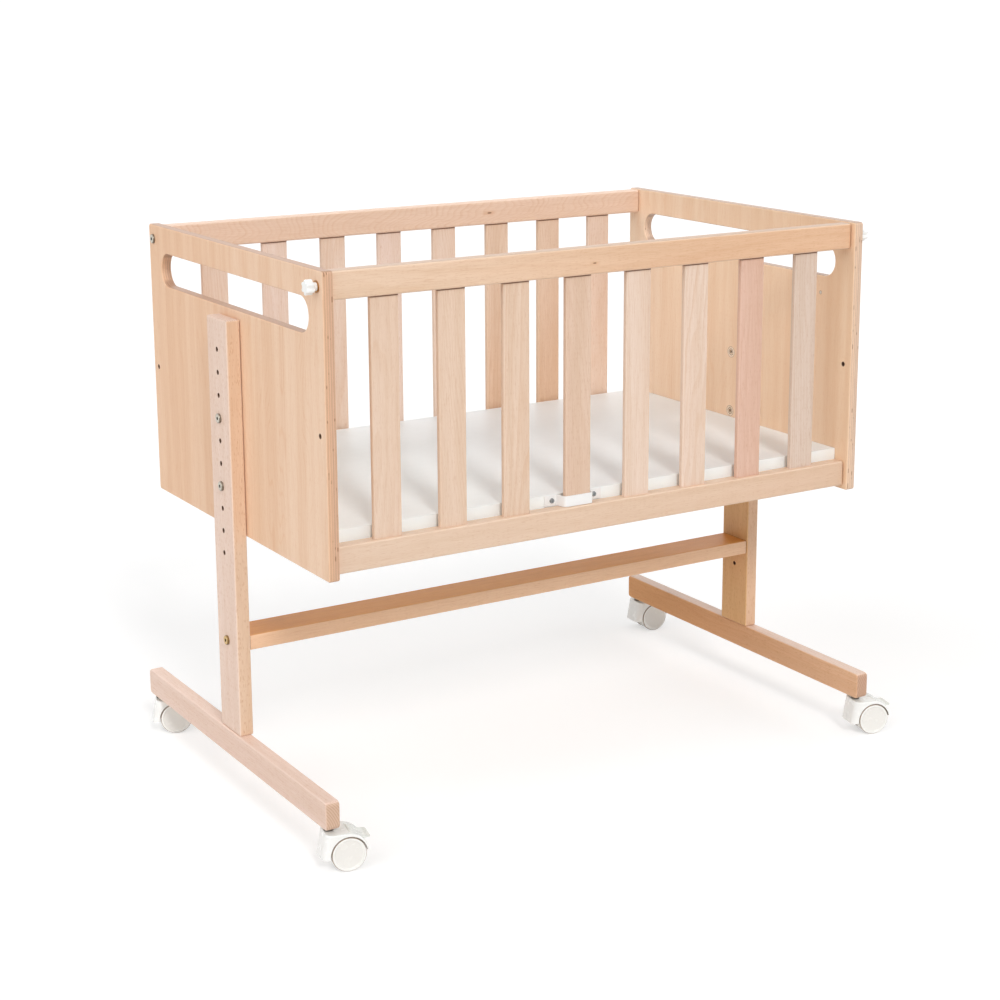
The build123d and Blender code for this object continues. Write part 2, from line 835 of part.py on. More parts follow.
# Star knobs with their studs, and the washers under them
def knob(side):
    """A star knob with its stud: the stud passes the washer and the panel into the rail."""
    face_x = middle_x + side * (outer_half + washer_thickness)
    seat = along(face_x, -side_hole_y, side_hole_z, (side, 0, 0))
    stud_length = washer_thickness + panel_thickness + front_side_gap + stud_reach
    with BuildPart() as piece:
        with BuildSketch(seat.offset(knob_neck_length)):
            Circle(knob_core_radius)
            with PolarLocations(knob_core_radius, knob_lobes):
                Circle(knob_lobe_radius)
        extrude(amount=knob_thickness)
        fillet(piece.edges().filter_by(Axis.X), knob_valley)
        fillet(piece.faces().filter_by(Axis.X).edges(), knob_easing)
        with BuildSketch(seat):
            Circle(knob_neck_radius)
        extrude(amount=knob_neck_length + knob_easing)
        with BuildSketch(seat):
            Circle(bolt_radius)
        extrude(amount=-stud_length)
    return piece


left_knob = knob(-1)
write(left_knob, "left_knob")
right_knob = knob(1)
write(right_knob, "right_knob")

for label, side in (("left_knob_washer", -1), ("right_knob_washer", 1)):
    with BuildPart() as washer:
        face = along(middle_x + side * outer_half, -side_hole_y, side_hole_z, (side, 0, 0))
        with BuildSketch(face):
            Circle(washer_radius)
            Circle(bolt_radius + bolt_hole_gap, mode=Mode.SUBTRACT)
        extrude(amount=washer_thickness)
    write(washer, label)
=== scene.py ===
import json
import math

import bpy
from mathutils import Matrix, Vector


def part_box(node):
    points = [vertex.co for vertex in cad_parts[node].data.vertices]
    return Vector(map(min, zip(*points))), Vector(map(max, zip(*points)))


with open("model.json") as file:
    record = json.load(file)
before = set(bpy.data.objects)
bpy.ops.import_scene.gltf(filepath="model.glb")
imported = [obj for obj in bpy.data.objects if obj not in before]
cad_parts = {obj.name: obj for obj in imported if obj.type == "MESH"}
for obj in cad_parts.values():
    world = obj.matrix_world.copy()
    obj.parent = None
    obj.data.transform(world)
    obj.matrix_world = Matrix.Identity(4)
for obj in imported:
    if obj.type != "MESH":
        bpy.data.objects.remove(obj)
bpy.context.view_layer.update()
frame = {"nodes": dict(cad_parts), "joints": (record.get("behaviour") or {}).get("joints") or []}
nodes = frame["nodes"]
AXES = "XYZ"
MM = 1000

# Tones that beech comes in, as display colours, 0 to 255.
PALEST, PALE, WARM, TAN = (238, 217, 204), (236, 213, 196), (232, 206, 185), (227, 199, 178)
# The honey tone is painted shade: the darker, more orange foot of two rear slats.
ROSY, ASHEN, HONEY_SHADE = (226, 189, 170), (222, 201, 186), (227, 193, 165)

# What a piece's own linear colour is multiplied by, for each feature of solid beech.
DEEPER, PALER, REDDER = (0.955, 0.925, 0.89), (1.025, 1.03, 1.04), (0.99, 0.93, 0.925)
# The arris factor pales the eased edges: partly their own paler sanded tone, partly a painted
# highlight.
LATE_WOOD, WOOD_RAY, PALE_ARRIS_AND_HIGHLIGHT = (0.9, 0.8, 0.7), (0.78, 0.62, 0.49), (1.12, 1.19, 1.25)
DARK_FIBRE, PALE_FIBRE = (0.86, 0.75, 0.65), (1.06, 1.08, 1.1)
END_GRAIN, END_PORES, END_LATE = (0.9, 0.81, 0.73), (0.86, 0.79, 0.73), (0.72, 0.58, 0.48)

# The same for veneer and for the plies' edges.
VENEER_DEEPER, VENEER_PALER = (0.95, 0.895, 0.84), (1.02, 1.035, 1.05)
VENEER_LINE, VENEER_VEIN, VENEER_RAY = (0.92, 0.81, 0.69), (0.84, 0.68, 0.53), (0.8, 0.62, 0.48)
VENEER_DARK_FIBRE, VENEER_PALE_FIBRE = (0.88, 0.76, 0.64), (1.04, 1.07, 1.1)
PLY_LONG, PLY_LONG_DARK = (0.98, 0.95, 0.94), (0.9, 0.83, 0.8)
PLY_END, PLY_END_DARK = (0.84, 0.8, 0.78), (0.71, 0.65, 0.62)
# The void factor is painted shade in the plies' open voids.
PLY_PATCH, PLY_GLUE, PLY_VOID_SHADE = (0.86, 0.8, 0.78), (0.56, 0.43, 0.37), (0.36, 0.25, 0.18)
# Painted shade: the first factor darkens the flat top and bottom edges, the second the right side
# of each edge.
PLY_FLAT_EDGE_SHADE, PLY_RIGHT_SIDE_SHADE = (0.53, 0.475, 0.48), (0.9, 0.9, 0.94)

# Small marks: display colours, 0 to 255, sizes in metres, and how much of the wood they replace.
# The first three colours are painted shade: in holes, where one piece meets or overhangs another,
# and in sockets. Knots and the plug are the wood's own marks.
HOLE_SHADE, JOINT_SHADE, SOCKET_SHADE = (84, 52, 32), (112, 64, 30), (70, 58, 46)
KNOT_HALO, KNOT_HEART = (214, 158, 112), (128, 78, 48)
PLUG_RIM, PLUG_FILL = (176, 142, 112), (214, 208, 200)
HOLE_RADIUS, POST_HOLE_RADIUS, HOLE_RIM = 0.00325, 0.003, 0.0005
# How far the painted shade at joints reaches: under a rail, and at the ends of a rail or the
# stretcher.
SHADE_UNDER_RAIL, SHADE_AT_ENDS = 0.0024, 0.0009
MARK_STRENGTH = 0.85

WOOD_SPECULAR = 0.42


def linear(red, green, blue):
    """A display colour, 0 to 255, as the linear colour that a shader takes: the sRGB curve."""
    values = []
    for value in (red, green, blue):
        share = value / 255
        values.append(share / 12.92 if share <= 0.04045 else ((share + 0.055) / 1.055) ** 2.4)
    return (*values, 1.0)


def times(colour, factors):
    return (*(value * factor for value, factor in zip(colour, factors)), 1.0)


def change_to(tint, base):
    """What a linear colour is multiplied by to become a display colour."""
    return (*(aim / own for aim, own in zip(linear(*tint)[:3], base)), 1.0)


class Graph:
    """A material and the few kinds of node that this script builds it from."""

    def __init__(self, name):
        self.material = bpy.data.materials.new(name)
        self.material.use_nodes = True
        self.tree = self.material.node_tree
        self.shader = self.tree.nodes["Principled BSDF"]
        coordinates = self.tree.nodes.new("ShaderNodeTexCoord")
        self.place = coordinates.outputs["Object"]
        self.normal = coordinates.outputs["Normal"]

    def put(self, socket, value):
        """Links an output to the socket, or sets a plain value in it."""
        if isinstance(value, bpy.types.NodeSocket):
            self.tree.links.new(value, socket)
        else:
            socket.default_value = value

    def node(self, kind, inputs, **settings):
        made = self.tree.nodes.new("ShaderNode" + kind)
        for key, value in settings.items():
            setattr(made, key, value)
        for key, value in inputs.items():
            self.put(made.inputs[key], value)
        return made

    def math(self, operation, first, second=0.0, third=0.0):
        made = self.node("Math", {0: first, 1: second, 2: third}, operation=operation)
        return made.outputs[0]

    def vector(self, operation, first, second=(0, 0, 0)):
        made = self.node("VectorMath", {0: first, 1: second}, operation=operation)
        return made.outputs["Value" if operation in ("LENGTH", "DOT_PRODUCT") else "Vector"]

    def split(self, vector):
        return self.node("SeparateXYZ", {0: vector}).outputs

    def join(self, x, y, z):
        return self.node("CombineXYZ", {0: x, 1: y, 2: z}).outputs[0]

    def distances(self, centres):
        """How far the surface is from each axis along X. An axis is (y, z), in metres."""
        parts = self.split(self.place)
        flat = self.join(0.0, parts[1], parts[2])
        return [self.vector("LENGTH", self.vector("SUBTRACT", flat, (0, *centre)))
                for centre in centres]

    def facing(self, axis):
        """1 where the surface lies square across the axis, 0 where it lies along it."""
        return self.math("ABSOLUTE", self.split(self.normal)[AXES.index(axis)])

    def spread(self, value, start, end, low=0.0, high=1.0, curve="LINEAR"):
        """Carries start to low and end to high, and holds still outside them."""
        made = self.node(
            "MapRange",
            {"Value": value, "From Min": start, "From Max": end, "To Min": low, "To Max": high},
            interpolation_type=curve,
        )
        return made.outputs["Result"]

    def step(self, value, start, end, low=0.0, high=1.0):
        return self.spread(value, start, end, low, high, "SMOOTHSTEP")

    def noise(self, place, detail, roughness=0.5):
        made = self.node(
            "TexNoise",
            {"Vector": place, "Scale": 1.0, "Detail": detail, "Roughness": roughness},
        )
        return made.outputs["Fac"]

    def texture(self, place, size, detail, roughness=0.5):
        """Noise with features of this size, in millimetres where the place is."""
        return self.noise(self.vector("DIVIDE", place, size), detail, roughness)

    def cells(self, place):
        made = self.node("TexVoronoi", {"Vector": place, "Scale": 1.0})
        return made.outputs["Distance"], self.split(made.outputs["Color"])

    def mix(self, share, first, second, blend="MIX"):
        made = self.node("Mix", {0: share, 6: first, 7: second}, data_type="RGBA", blend_type=blend)
        return made.outputs[2]

    def bump(self, height, distance, strength):
        made = self.node("Bump", {"Height": height, "Distance": distance, "Strength": strength})
        self.put(self.shader.inputs["Normal"], made.outputs["Normal"])

    def surface(self, colour, roughness, **others):
        """Fills the shader's sockets. Names in others have an underscore for each space."""
        self.put(self.shader.inputs["Base Color"], colour)
        self.put(self.shader.inputs["Roughness"], roughness)
        for key, value in others.items():
            self.put(self.shader.inputs[key.replace("_", " ")], value)


def dress(node, material):
    """Gives every slot of a CAD node's object this material."""
    thing = nodes[node]
    if not thing.material_slots:
        thing.data.materials.append(material)
    for place in thing.material_slots:
        place.material = material


def millimetres(graph):
    return graph.vector("MULTIPLY", graph.place, (MM, MM, MM))


def grain_place(graph, node, grain, seed):
    """Millimetres from the piece's middle, along the grain first, and the same moved by a seed."""
    seed_step = (371.3, 57.9, 83.1)
    low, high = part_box(node)
    middle = (low + high) / 2
    parts = graph.split(graph.vector("SUBTRACT", graph.place, tuple(middle)))
    others = [axis for axis in range(3) if AXES[axis] != grain]
    order = [AXES.index(grain), *others]
    turned = graph.join(*(parts[axis] for axis in order))
    plain = graph.vector("MULTIPLY", turned, (MM, MM, MM))
    moved = graph.vector("ADD", plain, tuple(seed * step for step in seed_step))
    return plain, moved


def shade_holes(graph, colour, holes, radius):
    """Paints shade on the walls of holes along X, darkening them: each hole is the (y, z) of its
    middle, in metres.
    """
    inside = 0.0
    for away in graph.distances(holes):
        inside = graph.math("MAXIMUM", graph.step(away, radius + HOLE_RIM, radius), inside)
    return graph.mix(graph.math("MULTIPLY", inside, MARK_STRENGTH), colour, linear(*HOLE_SHADE))


def shade_joints(graph, colour, joint_shades):
    """Paints shade close to a joint, darkening the wood where a neighbouring piece's shade falls:
    each entry is an axis, a place and a reach, in metres.
    Faces across that axis keep their own colour."""
    parts = graph.split(graph.place)
    line = 0.0
    for axis, place, reach in joint_shades:
        away = graph.math("ABSOLUTE", graph.math("SUBTRACT", parts[AXES.index(axis)], place))
        near = graph.math("MULTIPLY", graph.step(away, reach, reach * 0.65),
                          graph.step(graph.facing(axis), 0.8, 0.5))
        line = graph.math("MAXIMUM", near, line)
    return graph.mix(graph.math("MULTIPLY", line, MARK_STRENGTH), colour, linear(*JOINT_SHADE))


def knotted(graph, colour, grain, knots):
    """Adds pin knots, dark spindles with an orange halo: each is a place and a size, in metres."""
    stretch = tuple(0.3 if axis == grain else 1.0 for axis in AXES)
    for spot, size in knots:
        offset = graph.vector("MULTIPLY", graph.vector("SUBTRACT", graph.place, spot), stretch)
        away = graph.math("DIVIDE", graph.vector("LENGTH", offset), size)
        colour = graph.mix(graph.step(away, 3.2, 0.9, 0, 0.4), colour, linear(*KNOT_HALO))
        heart = graph.step(away, 1.0, 0.6, 0, MARK_STRENGTH)
        colour = graph.mix(heart, colour, linear(*KNOT_HEART))
    return colour


def flecks_of(graph, moved, length, width, share):
    """Small spindle-shaped rays along the grain in this share of the cells: 1 in a ray, else 0."""
    distance, chance = graph.cells(graph.vector("DIVIDE", moved, (length, width, width)))
    reach = graph.spread(chance[0], 1 - share, 1, 0, 0.42)
    return graph.step(graph.math("DIVIDE", distance, graph.math("ADD", reach, 0.0001)), 1.0, 0.55)


def beech(node, grain, tint, seed, pith=(60, 25), tilt=(0.0, 0.0), ring=4.0, warp=5.0, figure=0.5,
          rays=0.5, far_tint=None, side=None, side_lighting_tint=None, end_tint=None, holes=(),
          hole_radius=HOLE_RADIUS, joint_shades=(), knots=()):
    """Solid beech: growth rings round a far pith, fibres, rays, pale arrises that also carry a
    painted highlight, darker end grain.
    pith is how far the rings' middle lies from the piece's, tilt how fast that changes along the
    grain, ring the rings' width and warp how much they wave. figure and rays are how strongly
    rings and rays show. far_tint is the tone at the grain's far end, the side tint that of the
    faces across the axis called side, painted light and shade that sets those faces apart, and
    end_tint that of the end grain. The walls of holes and the wood close to joints get painted
    shade."""
    graph = Graph(node + "_beech")
    plain, moved = grain_place(graph, node, grain, seed)
    parts = graph.split(plain)
    base = linear(*tint)
    slow = graph.texture(moved, (330, 17, 17), 2, 0.55)
    colour = graph.mix(graph.step(slow, 0.3, 0.7), times(base, DEEPER), times(base, PALER))
    hue = graph.texture(moved, (500, 45, 45), 1)
    colour = graph.mix(graph.step(hue, 0.45, 0.75, 0, 0.3), colour, times(base, REDDER))

    wobble = graph.texture(moved, (190, 30, 30), 1)
    bend = graph.texture(moved, (700, 90, 90), 0)
    from_pith = [
        graph.math("MULTIPLY_ADD", parts[0], tilt[way],
                   graph.math("ADD", parts[way + 1], pith[way]))
        for way in range(2)
    ]
    far = graph.vector("LENGTH", graph.join(0.0, *from_pith))
    drift = graph.math("MULTIPLY_ADD", wobble, warp, graph.math("MULTIPLY", bend, 16.0))
    rings = graph.math("DIVIDE", graph.math("ADD", far, drift), ring)
    turn = graph.math("FRACT", rings)
    late = graph.math("MULTIPLY", graph.step(turn, 0.35, 0.93), graph.step(turn, 1.0, 0.94))
    strong = graph.noise(graph.math("MULTIPLY", graph.math("FLOOR", rings), 3.7), 0)
    shown = graph.step(strong, 0.3, 0.7, 0.25 * figure, figure)
    colour = graph.mix(graph.math("MULTIPLY", late, shown), colour, times(base, LATE_WOOD))

    fibres = graph.texture(moved, (26, 0.8, 0.8), 3, 0.6)
    colour = graph.mix(graph.step(fibres, 0.5, 0.74, 0, 0.75), colour, times(base, DARK_FIBRE))
    colour = graph.mix(graph.step(fibres, 0.48, 0.24, 0, 0.6), colour, times(base, PALE_FIBRE))
    fine = flecks_of(graph, moved, 7.5, 1.15, 1.0)
    coarse = flecks_of(graph, graph.vector("ADD", moved, (13, 7, 5)), 11, 1.9, 0.4)
    ray = graph.math("MAXIMUM", fine, graph.math("MULTIPLY", coarse, 0.8))
    colour = graph.mix(graph.math("MULTIPLY", ray, 0.7 * rays), colour, times(base, WOOD_RAY))

    own_tone = 1.0
    # Painted light and shade: the faces across the side axis take a tone of their own.
    if side:
        across = graph.facing(side)
        change = change_to(side_lighting_tint, base)
        colour = graph.mix(graph.step(across, 0.55, 0.85), colour, change, "MULTIPLY")
        own_tone = graph.step(across, 0.85, 0.55)
    low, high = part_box(node)
    size = (high - low) * MM
    if far_tint:
        half = size[AXES.index(grain)] / 2
        along = graph.math("MULTIPLY_ADD", slow, half * 0.3, parts[0])
        share = graph.math("MULTIPLY", graph.step(along, -half, half), own_tone)
        colour = graph.mix(share, colour, change_to(far_tint, base), "MULTIPLY")

    halves = [size[axis] / 2 for axis in range(3) if AXES[axis] != grain]
    near = [graph.math("SUBTRACT", halves[way], graph.math("ABSOLUTE", parts[way + 1]))
            for way in range(2)]
    # Pale arrises: partly the eased edges' own paler tone, partly a painted highlight.
    arris_and_highlight = graph.step(graph.math("MAXIMUM", near[0], near[1]), 2.2, 0.7, 0, 0.45)
    colour = graph.mix(arris_and_highlight, colour, times(base, PALE_ARRIS_AND_HIGHLIGHT))

    end = graph.step(graph.facing(grain), 0.6, 0.85)
    pores = graph.texture(moved, (3, 0.45, 0.45), 2)
    end_base = linear(*end_tint) if end_tint else times(base, END_GRAIN)
    end_colour = graph.mix(graph.step(pores, 0.4, 0.7), end_base, times(end_base, END_PORES))
    end_colour = graph.mix(graph.math("MULTIPLY", late, 0.7), end_colour, times(end_base, END_LATE))
    colour = graph.mix(end, colour, end_colour)
    # Painted shade where the piece meets another.
    if joint_shades:
        colour = shade_joints(graph, colour, joint_shades)
    if knots:
        colour = knotted(graph, colour, grain, knots)
    # Painted shade on the walls of the holes.
    if holes:
        colour = shade_holes(graph, colour, holes, hole_radius)

    rough = graph.spread(fibres, 0.3, 0.7, 0.4, 0.5)
    rough = graph.math("ADD", rough, graph.math("MULTIPLY", end, 0.16))
    graph.surface(colour, rough, Specular_IOR_Level=WOOD_SPECULAR)
    height = graph.math("MULTIPLY_ADD", fibres, 0.6, graph.math("MULTIPLY", ray, -0.35))
    graph.bump(height, 0.00012, 0.55)
    dress(node, graph.material)


def veneer(graph, base, plain, moved, far_tint):
    """Rotary-cut beech with upright lines. Its tone goes to far_tint at the front edge."""
    slow = graph.texture(moved, (620, 24, 24), 3, 0.55)
    face = graph.mix(graph.step(slow, 0.32, 0.68), times(base, VENEER_DEEPER),
                     times(base, VENEER_PALER))
    depth = graph.math("MULTIPLY_ADD", slow, -300.0, graph.split(plain)[2])
    face = graph.mix(graph.step(depth, 60, -380), face, change_to(far_tint, base), "MULTIPLY")
    wave = graph.texture(moved, (240, 46, 46), 1)
    across = graph.split(moved)[2]
    lines = graph.math("MULTIPLY_ADD", wave, 26.0, graph.math("MULTIPLY", across, 0.24))
    line = graph.step(graph.math("PINGPONG", lines, 1.0), 0.7, 1.0)
    line = graph.math("MULTIPLY", line, graph.step(slow, 0.35, 0.6, 0.6, 0.15))
    face = graph.mix(line, face, times(base, VENEER_LINE))
    vein = graph.texture(moved, (460, 3.4, 3.4), 1)
    face = graph.mix(graph.step(vein, 0.68, 0.8, 0, 0.55), face, times(base, VENEER_VEIN))
    fibres = graph.texture(moved, (26, 0.75, 0.75), 3, 0.6)
    face = graph.mix(graph.step(fibres, 0.5, 0.76, 0, 0.5), face, times(base, VENEER_DARK_FIBRE))
    face = graph.mix(graph.step(fibres, 0.46, 0.24, 0, 0.4), face, times(base, VENEER_PALE_FIBRE))
    ray = flecks_of(graph, moved, 7.5, 1.3, 0.9)
    face = graph.mix(graph.math("MULTIPLY", ray, 0.3), face, times(base, VENEER_RAY))
    return face, fibres, ray


def plies(graph, base, plain, moved, thickness, seed):
    """The edge of nine plies: long and end grain in turn, glue lines, patches and open voids
    darkened as painted shade. The flat edges and the right side of each edge are darker too,
    painted shade.
    The middle of the sheet is at depth 4.5, of which the sway gives a quarter on average."""
    ply_count, middle_depth = 9, 4.25
    parts = graph.split(plain)
    upward = graph.split(moved)[0]
    sway = graph.texture(moved, (60, 60, 60), 1)
    depth = graph.math("MULTIPLY_ADD", parts[1], ply_count / thickness,
                       graph.math("MULTIPLY", sway, 0.5))
    depth = graph.math("ADD", depth, middle_depth)
    inside = graph.math("FRACT", depth)
    layer = graph.math("FLOOR", depth)
    odd = graph.math("MODULO", graph.math("ADD", layer, 10.0), 2.0)
    level = graph.step(graph.facing("Z"), 0.6, 0.8)
    crossed = graph.math("ABSOLUTE", graph.math("SUBTRACT", odd, level))
    streak = graph.noise(graph.join(graph.math("DIVIDE", upward, 16.0), depth, seed), 3)
    specks = graph.texture(moved, (0.9, 0.5, 0.9), 2)
    patch_place = graph.join(graph.math("DIVIDE", upward, 90.0),
                             graph.math("MULTIPLY", layer, 3.1), seed)
    patch = graph.noise(patch_place, 1)
    long_grain = graph.mix(graph.step(streak, 0.35, 0.7), times(base, PLY_LONG),
                           times(base, PLY_LONG_DARK))
    end_grain = graph.mix(graph.step(specks, 0.35, 0.65), times(base, PLY_END),
                          times(base, PLY_END_DARK))
    edge = graph.mix(crossed, long_grain, end_grain)
    edge = graph.mix(graph.step(patch, 0.35, 0.65, 0, 0.5), edge, times(base, PLY_PATCH))
    glue = graph.step(graph.math("ABSOLUTE", graph.math("SUBTRACT", inside, 0.5)), 0.4, 0.5)
    edge = graph.mix(graph.math("MULTIPLY", glue, 0.5), edge, times(base, PLY_GLUE))
    # Painted shade: the right side of the edge is darker.
    right = graph.step(parts[1], -2.5, 1.5, 0, 0.85)
    edge = graph.mix(right, edge, (*PLY_RIGHT_SIDE_SHADE, 1.0), "MULTIPLY")
    # Painted shade in the open voids between plies.
    void_place = graph.join(graph.math("DIVIDE", upward, 15.0),
                            graph.math("MULTIPLY", layer, 5.3), seed)
    void_shade = graph.math("MULTIPLY", graph.step(graph.noise(void_place, 1), 0.62, 0.7), crossed)
    edge = graph.mix(graph.math("MULTIPLY", void_shade, 0.75), edge, times(base, PLY_VOID_SHADE))
    # Painted shade: the flat top and bottom edges are darker.
    return graph.mix(graph.math("MULTIPLY", level, 0.78), edge, times(base, PLY_FLAT_EDGE_SHADE))


def plywood(node, tint, far_tint, seed, plug=None):
    """Beech plywood: veneer on the faces and plies on every edge, with painted shade in the four
    holes. A plug is a small filled hole.
    """
    hole_inset, hole_drops = 0.016, (0.02, 0.205)
    rim_edge, fill_edge = (0.0034, 0.0026), (0.0024, 0.0018)
    graph = Graph(node + "_plywood")
    plain, moved = grain_place(graph, node, "Z", seed)
    low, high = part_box(node)
    base = linear(*tint)
    face, fibres, ray = veneer(graph, base, plain, moved, far_tint)
    edge = plies(graph, base, plain, moved, (high.x - low.x) * MM, seed)
    facing = graph.step(graph.facing("X"), 0.5, 0.8)
    middle, reach = (low.y + high.y) / 2, (high.y - low.y) / 2 - hole_inset
    holes = [(middle + way * reach, high.z - drop) for way in (-1, 1) for drop in hole_drops]
    # The four holes get painted shade on their walls.
    colour = shade_holes(graph, graph.mix(facing, edge, face), holes, HOLE_RADIUS)
    if plug:
        away = graph.vector("LENGTH", graph.vector("SUBTRACT", graph.place, plug))
        colour = graph.mix(graph.step(away, *rim_edge, 0, 0.75), colour, linear(*PLUG_RIM))
        colour = graph.mix(graph.step(away, *fill_edge, 0, 0.9), colour, linear(*PLUG_FILL))
    graph.surface(colour, graph.spread(fibres, 0.3, 0.7, 0.38, 0.5),
                  Specular_IOR_Level=WOOD_SPECULAR)
    height = graph.math("MULTIPLY_ADD", fibres, 0.5, graph.math("MULTIPLY", ray, -0.3))
    graph.bump(height, 0.0001, 0.5)
    dress(node, graph.material)


def moulded(name, colour, roughness, grain_size=0.9, mottle=0.03, relief=0.00002,
            side_light_colour=None, left_change=None, **others):
    """Moulded plastic or foil: a faint mottling, an even skin and slightly varied gloss.
    The side colour is the tone of the upright faces, painted light that sets them apart from the
    top. left_change multiplies the tone at the left."""
    left_start, left_end = 0.02, -0.24
    graph = Graph(name)
    place = millimetres(graph)
    base = linear(*colour)
    cloud = graph.texture(place, (14, 14, 14), 2)
    skin = graph.texture(place, (grain_size,) * 3, 2)
    low = times(base, (1 - mottle,) * 3)
    high = times(base, (1 + mottle / 2,) * 3)
    tone = graph.mix(graph.step(cloud, 0.3, 0.7), low, high)
    if left_change:
        left = graph.step(graph.split(graph.place)[0], left_start, left_end)
        tone = graph.mix(left, tone, (*left_change, 1.0), "MULTIPLY")
    # Painted light: the upright faces take a tone of their own.
    if side_light_colour:
        level = graph.step(graph.facing("Z"), 0.4, 0.7)
        tone = graph.mix(level, linear(*side_light_colour), tone)
    gloss = graph.spread(graph.math("ADD", cloud, skin), 0.7, 1.3,
                         roughness * 0.85, roughness * 1.2)
    graph.surface(tone, gloss, **others)
    graph.bump(skin, relief, 0.6)
    return graph.material


def caster_plastic(name, colour, joint, edge, dark, part):
    """Glossy white plastic with a darker line of painted shade where the hood meets the wheel's
    disc.
    A hood darkens inside the edge's radius in metres round the axle, a wheel outside it: painted
    shade in the gap. A hood's upward faces are greyer, painted shade, and a wheel's disc is greyer
    than its rim, a painted reflection."""
    hood_fade, hood_side = 0.0003, (0.003, 0.0036)
    wheel_fade, disc_rim = (0.0004, 0.0001), (0.0205, 0.019)
    graph = Graph(name)
    start, axis = Vector(joint["pos_m"]), Vector(joint["axis"]).normalized()
    offset = graph.vector("SUBTRACT", graph.place, tuple(start))
    away = graph.vector("LENGTH", graph.vector("CROSS_PRODUCT", offset, tuple(axis)))
    place = millimetres(graph)
    cloud = graph.texture(place, (11, 11, 11), 2)
    skin = graph.texture(place, (0.9, 0.9, 0.9), 2)
    scuffs = graph.texture(place, (2.5, 2.5, 0.7), 3)
    base = linear(*colour)
    tone = graph.mix(graph.step(cloud, 0.3, 0.7), times(base, (0.975, 0.975, 0.97)), base)
    if part == "hood":
        aside = graph.math("ABSOLUTE", graph.vector("DOT_PRODUCT", offset, tuple(axis)))
        # Painted shade in the gap round the wheel.
        line = graph.math("MULTIPLY", graph.step(away, edge + hood_fade, edge - hood_fade),
                          graph.step(aside, *hood_side))
        # Painted shade: the hood's upward faces are greyer.
        upward = graph.step(graph.split(graph.normal)[2], 0.55, 0.95)
        tone = graph.mix(upward, tone, times(base, (0.82, 0.83, 0.81)))
    else:
        turned = graph.vector("DOT_PRODUCT", graph.normal, tuple(axis))
        tread = graph.step(graph.math("ABSOLUTE", turned), 0.35, 0.15)
        # Painted shade near the rim, in the gap under the hood.
        line = graph.math("MULTIPLY",
                          graph.step(away, edge - wheel_fade[0], edge + wheel_fade[1]),
                          graph.math("SUBTRACT", 1.0, tread))
        # Painted reflection: the disc inside the rim is greyer.
        disc = graph.step(away, *disc_rim)
        tone = graph.mix(tread, tone, times(base, (0.8, 0.79, 0.77)))
        tone = graph.mix(disc, tone, times(base, (0.93, 0.92, 0.905)))
        worn = graph.math("MULTIPLY", disc, graph.step(scuffs, 0.5, 0.75, 0, 0.35))
        tone = graph.mix(worn, tone, times(base, (0.9, 0.85, 0.8)))
    line = graph.math("MULTIPLY", line, graph.step(scuffs, 0.2, 0.7, 1.0, 0.75))
    graph.surface(graph.mix(line, tone, linear(*dark)), graph.spread(cloud, 0.3, 0.7, 0.2, 0.3),
                  Coat_Weight=0.25, Coat_Roughness=0.08)
    graph.bump(skin, 0.00002, 0.5)
    return graph.material


def metal(name, colour, roughness, centres=(), rings=()):
    """Plated steel or brass: fine turned scratches and a few duller spots.
    centres are axes along X as (y, z), in metres. A ring is an inner and outer radius round each of
    them and how strongly it is darkened there: painted shade in sockets, slots and grooves."""
    ring_fade = 0.0002
    graph = Graph(name)
    place = millimetres(graph)
    base = linear(*colour)
    spots = graph.texture(place, (1.7, 1.7, 1.7), 3)
    scratch = graph.texture(place, (0.12, 0.9, 0.9), 2)
    tone = graph.mix(graph.step(spots, 0.35, 0.7), base, times(base, (0.78, 0.76, 0.72)))
    if centres:
        away = 1.0
        for distance in graph.distances(centres):
            away = graph.math("MINIMUM", distance, away)
        for inner, outer, dark in rings:
            ring = graph.math("MULTIPLY",
                              graph.step(away, inner - ring_fade, inner + ring_fade),
                              graph.step(away, outer + ring_fade, outer - ring_fade))
            # Painted shade in sockets, slots and grooves.
            tone = graph.mix(graph.math("MULTIPLY", ring, dark), tone, linear(*SOCKET_SHADE))
    gloss = graph.spread(spots, 0.3, 0.7, roughness * 0.8, roughness * 1.4)
    graph.surface(tone, gloss, Metallic=1.0)
    graph.bump(scratch, 0.00001, 0.5)
    return graph.material


# The panels. The plug is in the right panel's inner face.
middle_x = (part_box("left_end_panel")[0].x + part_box("right_end_panel")[1].x) / 2
plug_place = (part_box("right_end_panel")[0].x, -0.2052, 0.6548)
plywood("left_end_panel", (237, 198, 165), (241, 208, 180), seed=1.0)
plywood("right_end_panel", (246, 218, 191), (243, 211, 180), seed=6.0, plug=plug_place)

# The slats, each with its own cut from the log, with painted shade just under the top rail. Two of
# the rear slats are darker and more orange at the foot, painted shade, and change tone upwards.
front_tones = (WARM, WARM, WARM, TAN, PALE, PALE, ROSY, ASHEN)
